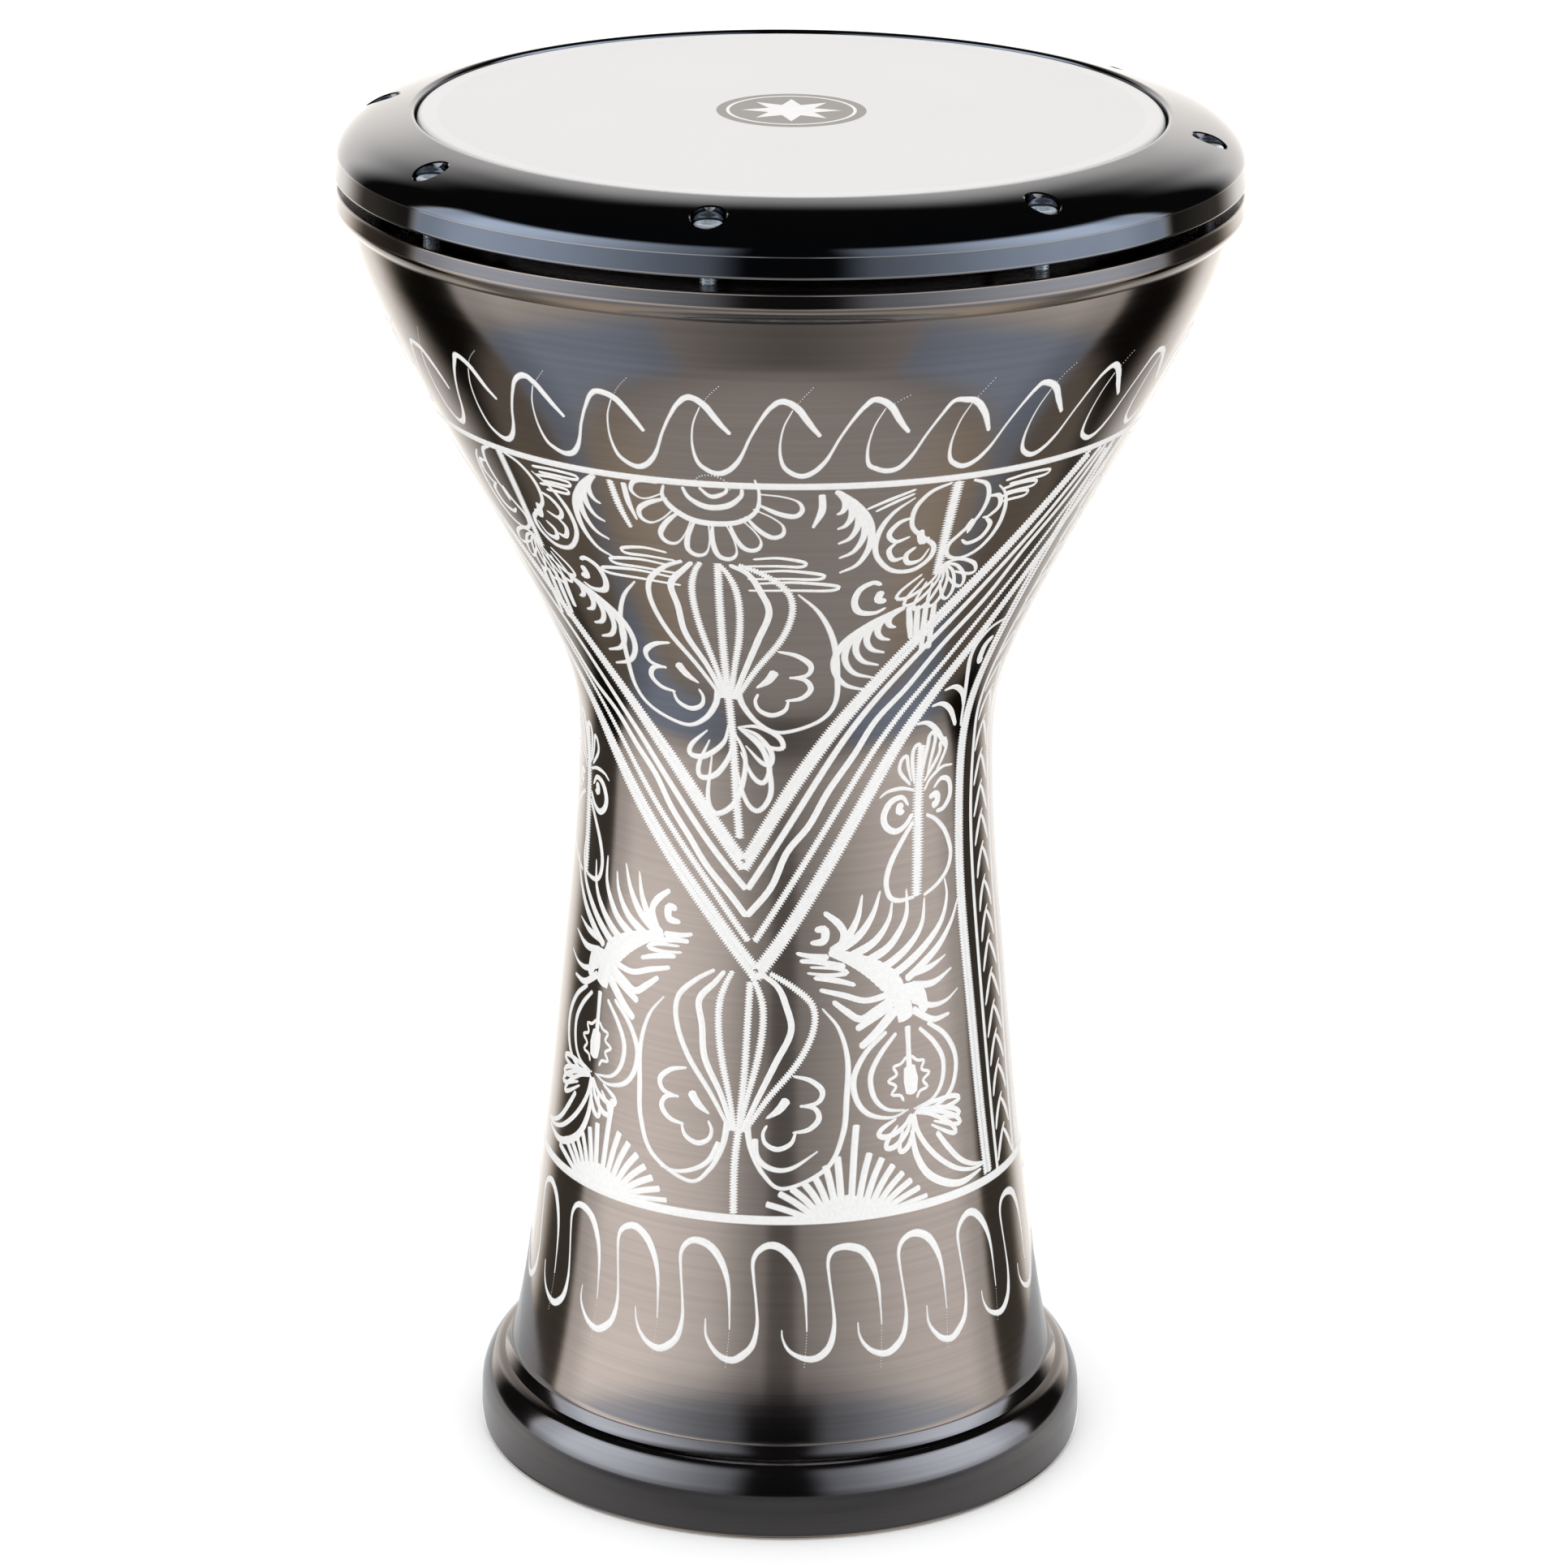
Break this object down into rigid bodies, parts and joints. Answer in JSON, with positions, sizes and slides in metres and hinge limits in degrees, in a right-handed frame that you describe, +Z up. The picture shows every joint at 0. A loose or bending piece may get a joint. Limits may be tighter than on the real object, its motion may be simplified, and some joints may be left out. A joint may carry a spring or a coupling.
{
  "type": "goblet drum",
  "caption": "Goblet hand drum with a cast metal shell, a film head and a bolted tuning rim that slides down over the shell's neck when its screws are turned.",
  "frame": {"origin": "centre of the foot's resting face", "axes": "+Z up along the drum's axis, from the open foot to the head; -Y towards the front of the engraving; +X to the right seen from the front"},
  "size_m": [0.2744, 0.2744, 0.4277],
  "materials": {
    "shell_metal": "cast and turned aluminium, black nickel plated and polished, engraved through the plating",
    "rim_metal": "cast aluminium, black nickel plated, high polish",
    "hoop_metal": "plain mill finish",
    "film": "opaque white polyester film, smooth satin",
    "screw_steel": "bright zinc plated"
  },
  "bodies": {
    "shell": {"shell": "shell_metal", "head_film": "film"},
    "rim": {"tuning_rim": "rim_metal", "flesh_hoop": "hoop_metal", "washer_1": "screw_steel", "washer_2": "screw_steel", "washer_3": "screw_steel", "washer_4": "screw_steel", "washer_5": "screw_steel", "washer_6": "screw_steel", "washer_7": "screw_steel", "washer_8": "screw_steel"},
    "bolt_1": {"tuning_bolt_1": "screw_steel"},
    "bolt_2": {"tuning_bolt_2": "screw_steel"},
    "bolt_3": {"tuning_bolt_3": "screw_steel"},
    "bolt_4": {"tuning_bolt_4": "screw_steel"},
    "bolt_5": {"tuning_bolt_5": "screw_steel"},
    "bolt_6": {"tuning_bolt_6": "screw_steel"},
    "bolt_7": {"tuning_bolt_7": "screw_steel"},
    "bolt_8": {"tuning_bolt_8": "screw_steel"}
  },
  "joints": [
    {"name": "rim_slide", "type": "slide", "parent": "shell", "child": "rim", "axis": [0, 0, -1], "range_m": [-0.0024, 0.0024], "deforming": ["head_film"]},
    {"name": "bolt_1_turn", "type": "hinge", "parent": "rim", "child": "bolt_1", "pos_m": [-0.02296, -0.12389, 0.417], "axis": [0, 0, -1], "range_deg": [-1085, 1085]},
    {"name": "bolt_2_turn", "type": "hinge", "parent": "rim", "child": "bolt_2", "pos_m": [0.07137, -0.10384, 0.417], "axis": [0, 0, -1], "range_deg": [-1085, 1085]},
    {"name": "bolt_3_turn", "type": "hinge", "parent": "rim", "child": "bolt_3", "pos_m": [0.12389, -0.02296, 0.417], "axis": [0, 0, -1], "range_deg": [-1085, 1085]},
    {"name": "bolt_4_turn", "type": "hinge", "parent": "rim", "child": "bolt_4", "pos_m": [0.10384, 0.07137, 0.417], "axis": [0, 0, -1], "range_deg": [-1085, 1085]},
    {"name": "bolt_5_turn", "type": "hinge", "parent": "rim", "child": "bolt_5", "pos_m": [0.02296, 0.12389, 0.417], "axis": [0, 0, -1], "range_deg": [-1085, 1085]},
    {"name": "bolt_6_turn", "type": "hinge", "parent": "rim", "child": "bolt_6", "pos_m": [-0.07137, 0.10384, 0.417], "axis": [0, 0, -1], "range_deg": [-1085, 1085]},
    {"name": "bolt_7_turn", "type": "hinge", "parent": "rim", "child": "bolt_7", "pos_m": [-0.12389, 0.02296, 0.417], "axis": [0, 0, -1], "range_deg": [-1085, 1085]},
    {"name": "bolt_8_turn", "type": "hinge", "parent": "rim", "child": "bolt_8", "pos_m": [-0.10384, -0.07137, 0.417], "axis": [0, 0, -1], "range_deg": [-1085, 1085]}
  ],
  "couplings": [
    {"joint": "bolt_1_turn", "follows": "rim_slide", "rad_per_m": 7854},
    {"joint": "bolt_2_turn", "follows": "rim_slide", "rad_per_m": 7854},
    {"joint": "bolt_3_turn", "follows": "rim_slide", "rad_per_m": 7854},
    {"joint": "bolt_4_turn", "follows": "rim_slide", "rad_per_m": 7854},
    {"joint": "bolt_5_turn", "follows": "rim_slide", "rad_per_m": 7854},
    {"joint": "bolt_6_turn", "follows": "rim_slide", "rad_per_m": 7854},
    {"joint": "bolt_7_turn", "follows": "rim_slide", "rad_per_m": 7854},
    {"joint": "bolt_8_turn", "follows": "rim_slide", "rad_per_m": 7854}
  ]
}
